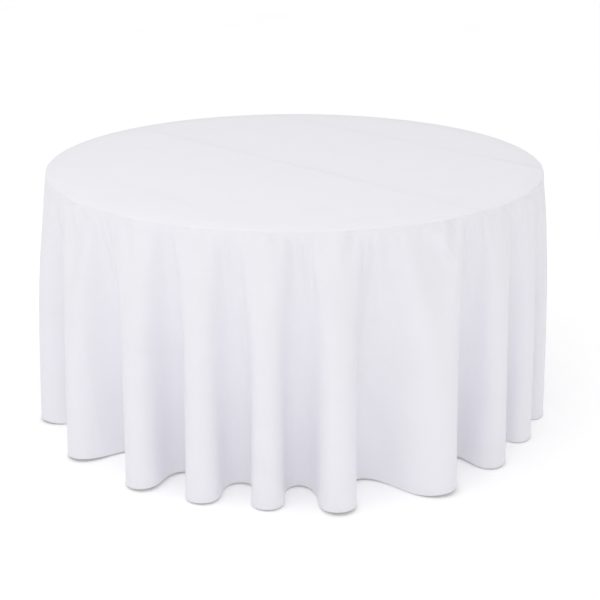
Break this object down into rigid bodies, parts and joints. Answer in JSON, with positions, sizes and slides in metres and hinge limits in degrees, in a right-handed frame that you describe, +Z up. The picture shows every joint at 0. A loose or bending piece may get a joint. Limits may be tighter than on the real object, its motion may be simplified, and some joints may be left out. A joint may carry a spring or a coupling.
{
  "type": "tablecloth on table",
  "caption": "Floor-length round tablecloth draped in deep folds over a round folding banquet table whose nested leg frames fold flat beneath it.",
  "frame": {"origin": "on the floor under the centre of the round table top", "axes": "+Z up; +X towards the right leg frame, whose legs stand wider; -Y is the front"},
  "size_m": [1.6738, 1.6745, 0.7633],
  "materials": {
    "cloth": "white woven polyester with a faint sheen",
    "hem_cloth": "the same white polyester, double-turned and stitched",
    "plywood": "satin-varnished birch plywood",
    "runner_wood": "sealed solid wood",
    "moulding_vinyl": "matt dark vinyl",
    "powder_coat": "black powder coat",
    "brace_steel": "zinc-plated flat bar",
    "zinc_fasteners": "bright zinc plate",
    "foot_rubber": "moulded black rubber"
  },
  "bodies": {
    "table": {"table_top": "plywood", "edge_moulding": "moulding_vinyl", "runner_front": "runner_wood", "runner_back": "runner_wood", "runner_screw_front_1": "zinc_fasteners", "runner_screw_front_2": "zinc_fasteners", "runner_screw_back_1": "zinc_fasteners", "runner_screw_back_2": "zinc_fasteners", "right_bracket_front": "powder_coat", "right_bracket_front_screw_1": "zinc_fasteners", "right_bracket_front_screw_2": "zinc_fasteners", "right_bracket_back": "powder_coat", "right_bracket_back_screw_1": "zinc_fasteners", "right_bracket_back_screw_2": "zinc_fasteners", "right_brace_bracket": "powder_coat", "right_brace_bracket_screw_1": "zinc_fasteners", "right_brace_bracket_screw_2": "zinc_fasteners", "right_top_rivet": "zinc_fasteners", "left_bracket_front": "powder_coat", "left_bracket_front_screw_1": "zinc_fasteners", "left_bracket_front_screw_2": "zinc_fasteners", "left_bracket_back": "powder_coat", "left_bracket_back_screw_1": "zinc_fasteners", "left_bracket_back_screw_2": "zinc_fasteners", "left_brace_bracket": "powder_coat", "left_brace_bracket_screw_1": "zinc_fasteners", "left_brace_bracket_screw_2": "zinc_fasteners", "left_top_rivet": "zinc_fasteners"},
    "cloth": {"tablecloth": "cloth", "hem": "hem_cloth"},
    "right_leg_frame": {"right_pivot_tube": "powder_coat", "right_leg_front": "powder_coat", "right_leg_back": "powder_coat", "right_foot_front": "foot_rubber", "right_foot_back": "foot_rubber", "right_stretcher": "powder_coat", "right_brace_tab": "powder_coat", "right_tab_rivet": "zinc_fasteners"},
    "right_upper_link": {"right_brace_upper": "brace_steel", "right_knuckle_rivet_upper": "zinc_fasteners"},
    "right_lower_link": {"right_brace_lower": "brace_steel", "right_knuckle_rivet_lower": "zinc_fasteners"},
    "left_leg_frame": {"left_pivot_tube": "powder_coat", "left_leg_front": "powder_coat", "left_leg_back": "powder_coat", "left_foot_front": "foot_rubber", "left_foot_back": "foot_rubber", "left_stretcher": "powder_coat", "left_brace_tab": "powder_coat", "left_tab_rivet": "zinc_fasteners"},
    "left_upper_link": {"left_brace_upper": "brace_steel", "left_knuckle_rivet_upper": "zinc_fasteners"},
    "left_lower_link": {"left_brace_lower": "brace_steel", "left_knuckle_rivet_lower": "zinc_fasteners"}
  },
  "joints": [
    {"name": "right_leg_fold", "type": "hinge", "parent": "table", "child": "right_leg_frame", "pos_m": [0.42, 0, 0.725], "axis": [0, 1, 0], "range_deg": [0, 94]},
    {"name": "right_brace_top", "type": "hinge", "parent": "table", "child": "right_upper_link", "pos_m": [0.1, 0.03, 0.725], "axis": [0, 1, 0], "range_deg": [-39.92, 0]},
    {"name": "right_brace_tab_pivot", "type": "hinge", "parent": "right_leg_frame", "child": "right_lower_link", "pos_m": [0.43988, 0.03, 0.44069], "axis": [0, 1, 0], "range_deg": [0, 46.09]},
    {"name": "left_leg_fold", "type": "hinge", "parent": "table", "child": "left_leg_frame", "pos_m": [-0.42, 0, 0.695], "axis": [0, -1, 0], "range_deg": [0, 94]},
    {"name": "left_brace_top", "type": "hinge", "parent": "table", "child": "left_upper_link", "pos_m": [-0.1, -0.03, 0.695], "axis": [0, -1, 0], "range_deg": [-39.92, 0]},
    {"name": "left_brace_tab_pivot", "type": "hinge", "parent": "left_leg_frame", "child": "left_lower_link", "pos_m": [-0.43988, -0.03, 0.41069], "axis": [0, -1, 0], "range_deg": [0, 46.09]},
    {"name": "cloth_lift", "type": "slide", "parent": "table", "child": "cloth", "axis": [0, 0, 1], "range_m": [0, 0.85], "deforming": ["tablecloth", "hem"]}
  ],
  "couplings": [
    {"joint": "right_brace_top", "follows": "right_leg_fold", "ratio": -0.4246},
    {"joint": "right_brace_tab_pivot", "follows": "right_leg_fold", "ratio": 0.4903},
    {"joint": "left_brace_top", "follows": "left_leg_fold", "ratio": -0.4246},
    {"joint": "left_brace_tab_pivot", "follows": "left_leg_fold", "ratio": 0.4903}
  ]
}
